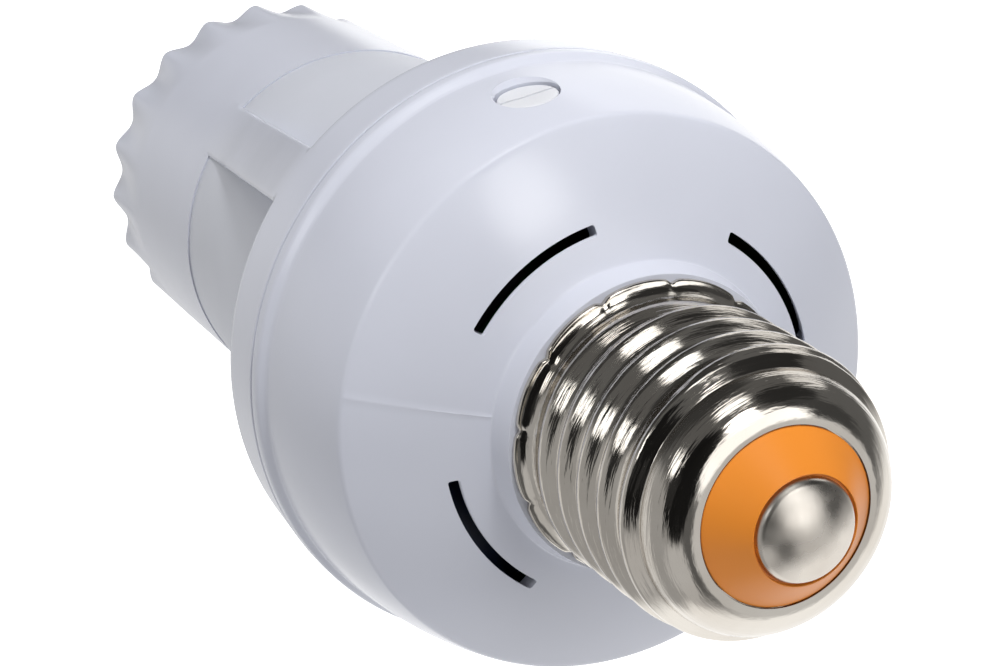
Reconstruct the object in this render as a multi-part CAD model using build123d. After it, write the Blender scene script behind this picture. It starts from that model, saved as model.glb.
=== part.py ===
from build123d import *
import math
import os

# Motion sensor lamp holder: screw cap at the top, lamp mouth at the bottom.
# Millimetres, +Z up, origin at the centre of the mouth rim.

# Moulding and fits
wall = 1.8                   # housing wall
fit = 0.15                   # clearance of pieces that seat in each other
running_gap = 0.2            # clearance round a piece that turns
seam_gap = 0.25              # open line between the two housings
screw_play = 0.1             # radial clearance of a screw or rivet in its hole
head_play = 0.15             # clearance beside a screw or rivet head

# Lamp socket
socket_shell_radius = 13.9
socket_wall = 0.55
socket_inset = 1.0           # shell's lower edge above the mouth's plain bore
socket_flange_thickness = 0.6
socket_flange_edge = 0.3     # metal left inside the rivet hole
socket_body_height = 5.4
terminal_width = 3.4
terminal_length = 5.0
terminal_thickness = 1.1
terminal_inset = 0.5         # plate to flange
rivet_radius = 1.5
rivet_above_floor = 2.4
rivet_head_radius = 1.9
rivet_head_height = 0.5
socket_screw_head = 1.8
tongue_width = 5.0
tongue_thickness = 0.5
tongue_reach = 6.6
tongue_drop = 2.2
tongue_tip = 1.5
tongue_lift = 0.5
tongue_gap = 0.3

# Socket tube inside the neck and the lens
tube_wall = 1.6
floor_height = 42.0          # underside of the tube's floor
floor_thickness = 2.0

# Lamp neck with its fluted mouth
neck_length = 24.5
mouth_step = 1.55            # how much wider than the tube the mouth's plain bore is
mouth_bore_depth = 7.0
mouth_chamfer = 0.6
mouth_wall = 2.5             # at the mouth, between the flutes
flute_count = 20
flute_radius = 3.2
flute_depth = 1.15
flute_length = 9.0
flute_phase = 16.6           # degrees, first flute from +X

# Conical sensor lens
lens_height = 35.5           # shown height, neck to rim band
lens_tube_gap = 1.0          # air between the lens and the socket tube
lens_foot_step = 0.85        # neck's edge outside the lens's foot
lens_reveal = 0.25           # how far the lens's face lies inside the neck's edge
window_depth = 5.2           # how far the lens lies behind the rim band
lens_wall = 1.0
lens_seat_depth = 2.0        # how far the lens stands in the neck
lens_flange_thickness = 1.2

# Rim band and struts of the front housing
band_height = 7.0
band_radius = 27.7           # at the struts
band_taper = 0.7             # how much wider the band is at the seam
ledge_thickness = 2.0
lip_height = 2.4             # locating lip above the seam
lip_wall = 1.4
strut_count = 3
strut_width = 6.0
strut_angle = -90.0          # degrees, first strut from +X
strut_foot_length = 10.0     # length of the curve that runs out into the neck
strut_foot_below = 4.0       # how far below the lens that curve starts
strut_sink = 0.05            # how far the foot starts inside the neck's face

# Rear housing
rear_height = 15.0           # seam to crease
rim_height = 1.5
step_height = 0.8
step_depth = 0.65
shoulder_lean = 1.65         # how far the outer wall leans in, up to the crease
shoulder_bulge = 0.4
dome_radius = 47.0
collar_width = 1.7           # shelf round the cap's flare
collar_foot = 1.2
collar_edge = 0.5
collar_height = 2.9          # above the dome at the collar's radius
spigot_radius = 11.6
spigot_length = 14.0
vent_count = 4
vent_inset = 2.25            # vent's middle from the collar
vent_width = 0.95
vent_span = 45.5             # degrees
vent_angle = -15.7           # degrees, middle of the first vent

# Screw cap
cap_pitch = 3.629
cap_turns = 4
cap_bore_play = 0.1
cap_wall = 0.45
cap_thread_depth = 0.95
cap_flare_width = 1.55
cap_flare_hollow = 0.54      # middle of the flare's curve, outside the thread's root
cap_flare_edge = 0.6
cap_flare_height = 2.2
cap_plain_length = 1.7
cap_crown_height = 7.0       # last crest to the insulator
cap_crown_step = 0.2         # how far the crown lies inside the crests
cap_groove_depth = 0.5       # of the last, shallow groove
cap_groove_share = 0.6       # length of that groove, in turns
cap_crown_bulge = 1.45
cap_crown_lift = 1.0
cap_lip = 0.6
notch_count = 12
notch_radius = 0.55
notch_phase = 2.4            # degrees
insulator_radius = 8.0
insulator_rise = 2.8
insulator_depth = 4.0
contact_radius = 4.6
contact_rise = 1.5
contact_edge = 0.4
stem_radius = 1.6
stem_length = 9.0

# Circuit board and what it carries
board_play = 0.95            # board's edge to the foot of the outer wall
board_thickness = 1.6
board_above_lip = 0.5
boss_inset = 1.3             # screw heads to the locating lip
boss_radius = 3.0
boss_angles = (-70.0, 50.0, 170.0)
screw_shank = 1.2
screw_length = 7.0
screw_head_radius = 2.4
screw_head_height = 1.5
pir_inset = 6.5              # sensor's middle from the board's edge
pir_can_radius = 4.1
pir_flange_radius = 4.6
pir_flange_height = 0.6
pir_can_height = 4.0
pir_window_width = 3.6
pir_window_height = 2.6
pir_window_depth = 0.4
relay_width = 10.0
relay_length = 15.0
relay_height = 9.0
relay_inset = 10.5           # middle from the board's edge
relay_angle = -10.0          # degrees
film_width = 6.0
film_length = 13.0
film_height = 9.5
film_inset = 11.0
film_angle = 104.0           # degrees
rectifier_width = 6.0
rectifier_length = 8.0
rectifier_height = 3.2
rectifier_inset = 12.0
rectifier_angle = -95.0      # degrees
chip_width = 4.0
chip_length = 10.0
chip_height = 1.8
chip_inset = 10.0
chip_angle = 161.0           # degrees
electrolytic_radius = 4.0
electrolytic_height = 10.5
electrolytic_inset = 11.0
electrolytic_angle = 203.0   # degrees
component_edge = 0.6
photocell_radius = 2.5
photocell_height = 2.4
photocell_angle = 0.0        # degrees

# Adjuster in the outer wall
adjuster_angle = -130.4      # degrees
adjuster_rise = 8.0          # centre above the seam
adjuster_hole = 3.0          # radius
adjuster_recess = 0.6
adjuster_head = 2.7
adjuster_shaft = 1.4
adjuster_shaft_length = 4.5
adjuster_slot_width = 0.5
adjuster_slot_depth = 0.4
trimmer_width = 7.0
trimmer_above = 3.4          # body above the shaft
trimmer_thickness = 4.6
trimmer_gap = 0.4

# Insulated leads
lead_radius = 0.7
lead_bend_share = 0.45       # of the shorter run at each bend
lead_in_drop = 12.0          # straight below the contact's stem
lead_in_rise = 12.0          # straight above the board
lead_in_spread = 6.5         # from the axis to the pads
lead_out_rise = 7.0          # straight above the socket and below the board
lead_out_shift = 1.8         # from the rivets to the pads, inwards
lead_out_spread = 4.0        # and sideways

# Radii and levels worked out from the sizes above
tube_bore = socket_shell_radius + fit
tube_radius = tube_bore + tube_wall
socket_bore = socket_shell_radius - socket_wall
shell_rivet_place = socket_bore - rivet_head_radius - head_play
socket_screw_place = socket_bore - socket_screw_head - head_play
socket_flange_bore = shell_rivet_place - rivet_radius - socket_flange_edge
terminal_place = terminal_inset + 0.5 * terminal_width - socket_flange_bore
mouth_bore = tube_bore + mouth_step
mouth_radius = mouth_bore + mouth_wall
lens_bottom_radius = tube_radius + lens_tube_gap + lens_wall
lens_top_radius = band_radius - window_depth
neck_radius = lens_bottom_radius + lens_foot_step
lens_face_radius = neck_radius - lens_reveal
seam_radius = band_radius + band_taper
shoulder_radius = seam_radius - step_depth
crease_radius = shoulder_radius - shoulder_lean
lip_radius = band_radius - wall + 0.5 * lip_wall
lip_bore = lip_radius - lip_wall
rear_mouth = lip_radius + fit
board_radius = shoulder_radius - wall - board_play
boss_circle = lip_bore - screw_head_radius - boss_inset
pir_circle = board_radius - pir_inset
relay_circle = board_radius - relay_inset
film_circle = board_radius - film_inset
rectifier_circle = board_radius - rectifier_inset
chip_circle = board_radius - chip_inset
electrolytic_circle = board_radius - electrolytic_inset
cap_bore = spigot_radius + cap_bore_play
cap_root_radius = cap_bore + cap_wall
cap_crest_radius = cap_root_radius + cap_thread_depth
cap_flare_radius = cap_root_radius + cap_flare_width
collar_radius = cap_flare_radius + collar_width
vent_radius = collar_radius + vent_inset

floor_top = floor_height + floor_thickness
socket_shell_bottom = mouth_bore_depth + socket_inset
socket_body_z = floor_height - socket_body_height
flange_z = socket_body_z - socket_flange_thickness
band_z = neck_length + lens_height
ledge_top = band_z + ledge_thickness
seam_z = band_z + band_height
rear_bottom = seam_z + seam_gap
crease_z = seam_z + rear_height
dome_centre = crease_z - math.sqrt(dome_radius ** 2 - crease_radius ** 2)


def dome_height(radius, sphere):
    return dome_centre + math.sqrt(sphere ** 2 - radius ** 2)


collar_top = dome_height(collar_radius, dome_radius) + collar_height
spigot_top = collar_top + spigot_length
thread_start = collar_top + cap_flare_height + cap_plain_length
last_crest = thread_start + (cap_turns - 0.5) * cap_pitch
crown_top = last_crest + cap_crown_height
contact_base = crown_top + insulator_rise
stem_bottom = contact_base - stem_length
board_z = seam_z + lip_height + board_above_lip
board_top = board_z + board_thickness
adjuster_z = seam_z + adjuster_rise


def at(radius, angle, z):
    return Rot(0, 0, angle) * Pos(radius, 0, z)


def outline(*corners):
    return Polyline(*[(r, 0, z) for r, z in corners])


def arc(first, middle, last):
    return ThreePointArc(*[(r, 0, z) for r, z in (first, middle, last)])


def turned(*edges, sweep=360):
    return revolve(make_face(list(edges)), Axis.Z, sweep)


def turned_polygon(*corners):
    return turned(Polyline(*[(r, 0, z) for r, z in corners], close=True))


def rod(radius, bottom, top):
    standing = (Align.CENTER, Align.CENTER, Align.MIN)
    return Pos(0, 0, bottom) * Cylinder(radius, top - bottom, align=standing)


def block(size, bottom):
    return Pos(0, 0, bottom) * Box(*size, align=(Align.CENTER, Align.CENTER, Align.MIN))


def around(shape, angles):
    return [Rot(0, 0, angle) * shape for angle in angles]


def even(count, phase=0.0):
    return [phase + 360.0 * i / count for i in range(count)]


def ripple(start, count, pitch, root, crest):
    # Rounded thread profile: a crest arc and a root arc for each turn, tangent at mid depth.
    middle = 0.5 * (root + crest)
    edges = []
    for turn in range(count):
        z = start + turn * pitch
        edges.append(arc((middle, z), (crest, z + 0.25 * pitch), (middle, z + 0.5 * pitch)))
        edges.append(arc((middle, z + 0.5 * pitch), (root, z + 0.75 * pitch), (middle, z + pitch)))
    return edges


def quarter_wave(first, last):
    # Leaves the first point along the axis, towards the last.
    return TangentArc((first[0], 0, first[1]), (last[0], 0, last[1]), tangent=(0, 0, last[1] - first[1]))


def front_housing():
    lens_seat_z = neck_length - lens_seat_depth
    groove_outer = lens_bottom_radius + fit
    neck = turned_polygon(
        (mouth_bore + mouth_chamfer, 0),
        (mouth_radius, 0),
        (neck_radius, neck_length),
        (groove_outer, neck_length),
        (groove_outer, lens_seat_z),
        (tube_radius, lens_seat_z),
        (tube_radius, floor_top),
        (0, floor_top),
        (0, floor_height),
        (tube_bore, floor_height),
        (tube_bore, mouth_bore_depth + mouth_bore - tube_bore),
        (mouth_bore, mouth_bore_depth),
        (mouth_bore, mouth_chamfer),
    )
    ledge_bore = lens_radius(ledge_top) + fit
    band = turned_polygon(
        (ledge_bore, band_z),
        (band_radius, band_z),
        (seam_radius, seam_z),
        (lip_radius, seam_z),
        (lip_radius, seam_z + lip_height),
        (lip_bore, seam_z + lip_height),
        (lip_bore, ledge_top),
        (ledge_bore, ledge_top),
    )
    body = neck + band + struts()
    tilt = math.degrees(math.atan2(flute_depth, flute_length))
    flute = Cylinder(flute_radius, 3 * flute_length)
    flute = Pos(mouth_radius + flute_radius - flute_depth, 0, 0) * Rot(0, tilt, 0) * flute
    body -= around(flute, even(flute_count, flute_phase))
    rivet_hole = rod(rivet_radius + screw_play, floor_height, floor_top)
    body -= Pos(terminal_place, 0, 0) * rivet_hole
    body -= Pos(shell_rivet_place, 0, 0) * rivet_hole
    pilot = rod(screw_shank + screw_play, floor_height, floor_top)
    body -= around(Pos(0, socket_screw_place, 0) * pilot, even(2))
    return body


def lens_radius(z):
    slope = (lens_top_radius - lens_face_radius) / lens_height
    return lens_face_radius + slope * (z - neck_length)


def struts():
    # Buttress ribs: cone face outside, lens cone inside, with a curve into the neck.
    foot_z = neck_length - strut_foot_below
    knee_z = foot_z + strut_foot_length
    foot_radius = neck_radius - strut_sink
    slope = (band_radius - foot_radius) / (band_z - foot_z - 0.5 * strut_foot_length)
    knee_radius = foot_radius + 0.5 * slope * strut_foot_length
    middle_radius = foot_radius + 0.125 * slope * strut_foot_length
    inner_foot = lens_bottom_radius + fit
    inner_top = lens_radius(ledge_top) + fit
    blank = turned(
        outline(
            (knee_radius, knee_z),
            (band_radius, band_z),
            (band_radius, band_z + 0.5 * ledge_thickness),
            (inner_top, band_z + 0.5 * ledge_thickness),
            (lens_radius(band_z) + fit, band_z),
            (lens_face_radius + fit, neck_length),
            (inner_foot, neck_length),
            (inner_foot, foot_z),
            (foot_radius, foot_z),
        ),
        arc(
            (foot_radius, foot_z),
            (middle_radius, foot_z + 0.5 * strut_foot_length),
            (knee_radius, knee_z),
        ),
    )
    slab = Pos(0.5 * seam_radius, 0, 0) * block((seam_radius, strut_width, seam_z), 0)
    angles = even(strut_count, strut_angle)
    return [blank & one for one in around(slab, angles)]


def sensor_lens():
    bottom = neck_length - lens_seat_depth + fit
    step_z = neck_length + fit
    flange_top = ledge_top + lens_flange_thickness
    flange_radius = lip_bore - fit
    return turned_polygon(
        (lens_bottom_radius - lens_wall, bottom),
        (lens_bottom_radius, bottom),
        (lens_bottom_radius, step_z),
        (lens_radius(step_z), step_z),
        (lens_radius(ledge_top), ledge_top),
        (flange_radius, ledge_top),
        (flange_radius, flange_top),
        (lens_radius(flange_top) - lens_wall, flange_top),
        (lens_radius(step_z + lens_wall) - lens_wall, step_z + lens_wall),
        (lens_bottom_radius - lens_wall, step_z),
    )


def rear_outer():
    step_z = seam_z + rim_height
    shoulder_z = step_z + step_height
    middle_z = 0.5 * (shoulder_z + crease_z)
    middle_radius = 0.5 * (shoulder_radius + crease_radius) + shoulder_bulge
    foot_radius = collar_radius + collar_foot
    foot_z = dome_height(foot_radius, dome_radius)
    dome_middle = 0.5 * (crease_radius + foot_radius)
    return turned(
        outline(
            (0, rear_bottom),
            (seam_radius, rear_bottom),
            (seam_radius, step_z),
            (shoulder_radius, shoulder_z),
        ),
        arc((shoulder_radius, shoulder_z), (middle_radius, middle_z), (crease_radius, crease_z)),
        arc(
            (crease_radius, crease_z),
            (dome_middle, dome_height(dome_middle, dome_radius)),
            (foot_radius, foot_z),
        ),
        outline(
            (foot_radius, foot_z),
            (collar_radius, foot_z + collar_foot),
            (collar_radius, collar_top - collar_edge),
            (collar_radius - collar_edge, collar_top),
            (spigot_radius, collar_top),
            (spigot_radius, spigot_top),
            (0, spigot_top),
            (0, rear_bottom),
        ),
    )


def rear_inner():
    sphere = dome_radius - wall
    corner_radius = crease_radius - wall
    corner_z = dome_height(corner_radius, sphere)
    bore = spigot_radius - wall
    middle = 0.5 * (corner_radius + bore)
    shoulder_z = seam_z + rim_height + step_height
    mouth_top = seam_z + lip_height + fit
    return turned(
        outline(
            (0, rear_bottom),
            (rear_mouth, rear_bottom),
            (rear_mouth, mouth_top),
            (shoulder_radius - wall, max(mouth_top, shoulder_z)),
            (corner_radius, corner_z),
        ),
        arc(
            (corner_radius, corner_z),
            (middle, dome_height(middle, sphere)),
            (bore, dome_height(bore, sphere)),
        ),
        outline((bore, dome_height(bore, sphere)), (bore, spigot_top), (0, spigot_top), (0, rear_bottom)),
    )


def rear_housing():
    outer = rear_outer()
    body = outer - rear_inner()
    boss = Pos(boss_circle, 0, 0) * rod(boss_radius, board_top, collar_top)
    body += [outer & one for one in around(boss, boss_angles)]
    pilot = rod(screw_shank + screw_play, board_top, board_z + screw_length)
    body -= around(Pos(boss_circle, 0, 0) * pilot, boss_angles)
    half = 0.5 * vent_width
    vent_low = dome_height(vent_radius + half, dome_radius - 2 * wall)
    vent_high = dome_height(0, dome_radius)
    slot = turned(
        Polyline(
            (vent_radius - half, 0, vent_low),
            (vent_radius + half, 0, vent_low),
            (vent_radius + half, 0, vent_high),
            (vent_radius - half, 0, vent_high),
            close=True,
        ),
        sweep=vent_span,
    )
    first = vent_angle - 0.5 * vent_span
    body -= around(slot, even(vent_count, first))
    hole = Rot(0, 90, 0) * rod(adjuster_hole, boss_circle, seam_radius + wall)
    body -= Rot(0, 0, adjuster_angle) * Pos(0, 0, adjuster_z) * hole
    return body


def cap_shell():
    flare_z = collar_top
    neck_z = flare_z + cap_flare_height
    middle_radius = 0.5 * (cap_root_radius + cap_crest_radius)
    crown_middle = (
        0.5 * (cap_crest_radius + insulator_radius) + cap_crown_bulge,
        0.5 * (last_crest + crown_top) + cap_crown_lift,
    )
    groove_quarter = 0.25 * cap_groove_share * cap_pitch
    groove = (cap_crest_radius - cap_groove_depth, last_crest + 2 * groove_quarter)
    crown_foot = (cap_crest_radius - cap_crown_step, last_crest + 4 * groove_quarter)
    groove_in = (0.5 * (cap_crest_radius + groove[0]), last_crest + groove_quarter)
    groove_out = (0.5 * (groove[0] + crown_foot[0]), last_crest + 3 * groove_quarter)
    crown = arc(crown_foot, crown_middle, (insulator_radius, crown_top))
    first_flank = thread_start + 0.25 * cap_pitch
    last_flank = last_crest - 0.25 * cap_pitch
    flare = arc(
        (cap_flare_radius, flare_z + cap_flare_edge),
        (cap_root_radius + cap_flare_hollow, flare_z + 0.5 * cap_flare_height),
        (cap_root_radius, neck_z),
    )
    lip_inside = insulator_radius - cap_lip
    edges = [
        outline(
            (cap_bore, flare_z),
            (cap_flare_radius, flare_z),
            (cap_flare_radius, flare_z + cap_flare_edge),
        ),
        flare,
        outline((cap_root_radius, neck_z), (cap_root_radius, thread_start)),
        quarter_wave((cap_root_radius, thread_start), (middle_radius, first_flank)),
        *ripple(first_flank, cap_turns - 1, cap_pitch, cap_root_radius, cap_crest_radius),
        quarter_wave((cap_crest_radius, last_crest), (middle_radius, last_flank)),
        quarter_wave((cap_crest_radius, last_crest), groove_in),
        quarter_wave(groove, groove_in),
        quarter_wave(groove, groove_out),
        quarter_wave(crown_foot, groove_out),
        crown,
        outline(
            (insulator_radius, crown_top),
            (insulator_radius, crown_top - cap_lip),
            (lip_inside, crown_top - cap_lip),
            (lip_inside, crown_top - insulator_depth),
            (cap_bore, last_crest),
            (cap_bore, flare_z),
        ),
    ]
    body = turned(*edges)
    notch = Pos(cap_flare_radius, 0, 0) * rod(notch_radius, flare_z, neck_z)
    body -= around(notch, even(notch_count, notch_phase))
    return body


def cap_insulator():
    plug = insulator_radius - cap_lip - fit
    seat = crown_top - cap_lip
    return turned_polygon(
        (stem_radius + screw_play, crown_top - insulator_depth),
        (plug, crown_top - insulator_depth),
        (plug, seat),
        (insulator_radius - fit, seat),
        (insulator_radius - fit, crown_top),
        (contact_radius + fit, contact_base + contact_edge),
        (contact_radius + fit, contact_base),
        (stem_radius + screw_play, contact_base),
    )


def cap_contact():
    base_edge = contact_base + contact_edge
    top = base_edge + contact_rise
    sphere = (contact_radius ** 2 + contact_rise ** 2) / (2 * contact_rise)
    middle_radius = 0.5 * contact_radius
    middle_z = top - sphere + math.sqrt(sphere ** 2 - middle_radius ** 2)
    return turned(
        outline(
            (0, top),
            (0, stem_bottom),
            (stem_radius, stem_bottom),
            (stem_radius, contact_base),
            (contact_radius, contact_base),
            (contact_radius, base_edge),
        ),
        arc((contact_radius, base_edge), (middle_radius, middle_z), (0, top)),
    )


def circuit_board():
    hole = Pos(boss_circle, 0, 0) * rod(screw_shank + 2 * screw_play, board_z, board_top)
    return rod(board_radius, board_z, board_top) - around(hole, boss_angles)


def board_screws():
    shank_end = board_z + screw_length - 2 * screw_play
    head = rod(screw_head_radius, board_z - screw_head_height, board_z)
    screw = head + rod(screw_shank, board_z, shank_end)
    return around(Pos(boss_circle, 0, 0) * screw, boss_angles)


def pir_sensor():
    flange_bottom = board_z - pir_flange_height
    can_bottom = flange_bottom - pir_can_height
    can = rod(pir_flange_radius, flange_bottom, board_z) + rod(pir_can_radius, can_bottom, flange_bottom)
    return can - block((pir_window_width, pir_window_height, pir_window_depth), can_bottom)


def box_part(width, length, height, circle, angle):
    body = block((width, length, height), board_top)
    body = chamfer(body.faces().sort_by(Axis.Z)[-1].edges(), component_edge)
    return at(circle, angle, 0) * body


def electrolytic_capacitor():
    top = board_top + electrolytic_height
    groove = turned_polygon(
        (electrolytic_radius - 0.5 * component_edge, board_top + 2 * component_edge),
        (electrolytic_radius + component_edge, board_top + component_edge),
        (electrolytic_radius + component_edge, board_top + 3 * component_edge),
    )
    can = rod(electrolytic_radius, board_top, top) - groove
    return at(electrolytic_circle, electrolytic_angle, 0) * can


def daylight_sensor():
    return at(pir_circle, photocell_angle, 0) * rod(photocell_radius, board_z - photocell_height, board_z)


def adjuster_face():
    return shoulder_radius - adjuster_recess


def adjuster_knob():
    face = adjuster_face()
    head_back = face - adjuster_head
    radius = adjuster_hole - running_gap
    shaft = rod(adjuster_shaft, head_back - adjuster_shaft_length, head_back)
    knob = rod(radius, head_back, face) + shaft
    slot = block((adjuster_slot_width, 3 * radius, adjuster_slot_depth), face - adjuster_slot_depth)
    return radial(knob - slot)


def trimmer_body():
    front = adjuster_face() - adjuster_head - trimmer_gap
    back = front - trimmer_thickness
    below = adjuster_z - board_top
    body = block((below + trimmer_above, trimmer_width, trimmer_thickness), back)
    body = Pos(0.5 * (below - trimmer_above), 0, 0) * body
    return radial(body - rod(adjuster_shaft + screw_play, back, front))


def radial(shape):
    # Turns a piece drawn along +Z to point outwards through the adjuster hole.
    return Rot(0, 0, adjuster_angle) * Pos(0, 0, adjuster_z) * Rot(0, 90, 0) * shape


def socket_shell():
    shell = turned_polygon(
        (socket_bore, socket_shell_bottom),
        (socket_bore, flange_z),
        (socket_flange_bore, flange_z),
        (socket_flange_bore, socket_body_z),
        (socket_shell_radius, socket_body_z),
        (socket_shell_radius, socket_shell_bottom),
    )
    return shell - socket_holes(flange_z, socket_body_z)


def socket_holes(bottom, top):
    rivet_hole = Pos(shell_rivet_place, 0, 0) * rod(rivet_radius + screw_play, bottom, top)
    screw_hole = Pos(0, socket_screw_place, 0) * rod(screw_shank + screw_play, bottom, top)
    return [rivet_hole] + around(screw_hole, even(2))


def socket_body():
    disc = rod(tube_bore - fit, socket_body_z, floor_height)
    disc -= Pos(terminal_place, 0, 0) * rod(rivet_radius + screw_play, socket_body_z, floor_height)
    return disc - socket_holes(socket_body_z, floor_height)


def centre_terminal():
    size = (terminal_width, terminal_length, terminal_thickness)
    plate = block(size, socket_body_z - terminal_thickness)
    stud = rod(rivet_radius, socket_body_z, floor_top + rivet_above_floor)
    return Pos(terminal_place, 0, 0) * (plate + stud)


def shell_rivet():
    head = rod(rivet_head_radius, flange_z - rivet_head_height, flange_z)
    shank = rod(rivet_radius, flange_z, floor_top + rivet_above_floor)
    return Pos(shell_rivet_place, 0, 0) * (head + shank)


def socket_screws():
    head = rod(socket_screw_head, flange_z - screw_head_height, flange_z)
    screw = head + rod(screw_shank, flange_z, floor_top - screw_play)
    return around(Pos(0, socket_screw_place, 0) * screw, even(2))


def contact_tongue():
    root_x = terminal_place + 0.5 * terminal_width + tongue_gap
    root_z = socket_body_z - 0.5 * terminal_thickness
    low_x = root_x + tongue_reach
    low_z = root_z - tongue_drop
    half = 0.5 * tongue_thickness
    side = Polyline(
        (root_x, 0, root_z + half),
        (low_x, 0, low_z + half),
        (low_x + tongue_tip, 0, low_z + tongue_lift + half),
        (low_x + tongue_tip, 0, low_z + tongue_lift - half),
        (low_x, 0, low_z - half),
        (root_x, 0, root_z - half),
        close=True,
    )
    return extrude(make_face(side), 0.5 * tongue_width, dir=(0, 1, 0), both=True)


def bend_radii(points):
    radii = []
    for before, corner, after in zip(points, points[1:], points[2:]):
        run_in = Vector(*corner) - Vector(*before)
        run_out = Vector(*after) - Vector(*corner)
        turn = math.radians(run_in.get_angle(run_out))
        radii.append(lead_bend_share * min(run_in.length, run_out.length) / math.tan(0.5 * turn))
    return radii


def lead(points):
    path = FilletPolyline(*points, radius=bend_radii(points))
    ring = Plane(origin=path @ 0, z_dir=path % 0) * Circle(lead_radius)
    return sweep(ring, path)


def leads():
    shell_level = spigot_top + 2 * lead_radius
    inside_spigot = spigot_radius - wall - 2 * lead_radius
    stud_top = floor_top + rivet_above_floor
    pad_top = board_top + lead_in_rise
    live_pad = terminal_place + lead_out_shift
    neutral_pad = shell_rivet_place - lead_out_shift
    yield "live_lead_in", lead([
        (0, 0, stem_bottom),
        (0, 0, stem_bottom - lead_in_drop),
        (lead_in_spread, lead_in_spread, pad_top),
        (lead_in_spread, lead_in_spread, board_top),
    ])
    yield "neutral_lead_in", lead([
        (-cap_bore, 0, shell_level),
        (-inside_spigot, 0, shell_level),
        (-inside_spigot, 0, collar_top),
        (-lead_in_spread, lead_in_spread, pad_top),
        (-lead_in_spread, lead_in_spread, board_top),
    ])
    yield "live_lead_out", lead([
        (terminal_place, 0, stud_top),
        (terminal_place, 0, stud_top + lead_out_rise),
        (live_pad, lead_out_spread, board_z - lead_out_rise),
        (live_pad, lead_out_spread, board_z),
    ])
    yield "neutral_lead_out", lead([
        (shell_rivet_place, 0, stud_top),
        (shell_rivet_place, 0, stud_top + lead_out_rise),
        (neutral_pad, -lead_out_spread, board_z - lead_out_rise),
        (neutral_pad, -lead_out_spread, board_z),
    ])


nodes = {
    "front_housing": front_housing(),
    "rear_housing": rear_housing(),
    "sensor_lens": sensor_lens(),
    "cap_shell": cap_shell(),
    "cap_insulator": cap_insulator(),
    "cap_contact": cap_contact(),
    "circuit_board": circuit_board(),
    "board_screws": board_screws(),
    "relay": box_part(relay_width, relay_length, relay_height, relay_circle, relay_angle),
    "film_capacitor": box_part(film_width, film_length, film_height, film_circle, film_angle),
    "bridge_rectifier": box_part(
        rectifier_width, rectifier_length, rectifier_height, rectifier_circle, rectifier_angle
    ),
    "controller_chip": box_part(chip_width, chip_length, chip_height, chip_circle, chip_angle),
    "electrolytic_capacitor": electrolytic_capacitor(),
    "daylight_sensor": daylight_sensor(),
    "adjuster_knob": adjuster_knob(),
    "trimmer_body": trimmer_body(),
    "socket_shell": socket_shell(),
    "socket_body": socket_body(),
    "centre_terminal": centre_terminal(),
    "shell_rivet": shell_rivet(),
    "socket_screws": socket_screws(),
    "contact_tongue": contact_tongue(),
}
window_angles = even(strut_count, strut_angle + 180.0 / strut_count)
for number, angle in enumerate(window_angles, start=1):
    nodes[f"pir_sensor_{number}"] = at(pir_circle, angle, 0) * pir_sensor()
for name, tube in leads():
    nodes[name] = tube

os.makedirs("parts", exist_ok=True)
for name, shape in nodes.items():
    solids = Compound(children=shape) if isinstance(shape, list) else shape
    export_step(solids, f"parts/{name}.step")
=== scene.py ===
import bpy
import bmesh
import math
from mathutils import Matrix, Vector


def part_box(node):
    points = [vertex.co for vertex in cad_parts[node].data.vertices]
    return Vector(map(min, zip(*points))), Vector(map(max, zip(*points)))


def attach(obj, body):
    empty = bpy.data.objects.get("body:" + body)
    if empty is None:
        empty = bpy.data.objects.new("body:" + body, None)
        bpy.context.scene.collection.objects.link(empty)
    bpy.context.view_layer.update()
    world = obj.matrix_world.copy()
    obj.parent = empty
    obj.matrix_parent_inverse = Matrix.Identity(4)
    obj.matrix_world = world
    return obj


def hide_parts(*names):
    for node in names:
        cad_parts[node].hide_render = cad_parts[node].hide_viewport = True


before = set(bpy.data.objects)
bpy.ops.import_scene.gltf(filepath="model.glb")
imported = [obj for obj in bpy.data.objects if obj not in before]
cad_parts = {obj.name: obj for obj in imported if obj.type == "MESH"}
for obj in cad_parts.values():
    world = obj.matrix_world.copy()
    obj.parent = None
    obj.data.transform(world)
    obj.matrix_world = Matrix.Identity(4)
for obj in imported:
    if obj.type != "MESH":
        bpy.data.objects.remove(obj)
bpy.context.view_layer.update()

mm = 0.001  # lengths below are millimetres and angles degrees, unless a note says otherwise
slack = 0.01  # play when levels or columns are compared
print("frame loaded,", len(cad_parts), "nodes")


# widest radius, lowest and highest level of a CAD node
def reach(node):
    low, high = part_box(node)
    return max(high[0], -low[0]) / mm, low[2] / mm, high[2] / mm


# radius and level of a place
def ringOf(co):
    return math.hypot(co.x, co.y) / mm, co.z / mm


# takes a vertex to a radius and to an angle in radians, at its own level
def moveTo(v, r, angle):
    v.co.x, v.co.y = r * mm * math.cos(angle), r * mm * math.sin(angle)


# profiles are drawn in the XZ plane as a line of edges
def startLine(bm, r, z):
    return bm.verts.new((r * mm, 0, z * mm))


def lineTo(bm, last, r, z):
    new = bm.verts.new((r * mm, 0, z * mm))
    bm.edges.new((last, new))
    return new


# turns the line round a centre, from +Z towards +X
def arcTo(bm, last, r, z, turn, steps):
    swept = bmesh.ops.spin(bm, geom=[last], cent=(r * mm, 0, z * mm), axis=(0, 1, 0),
                           angle=math.radians(turn), steps=steps)
    return [v for v in swept["geom_last"] if isinstance(v, bmesh.types.BMVert)][0]


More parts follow.
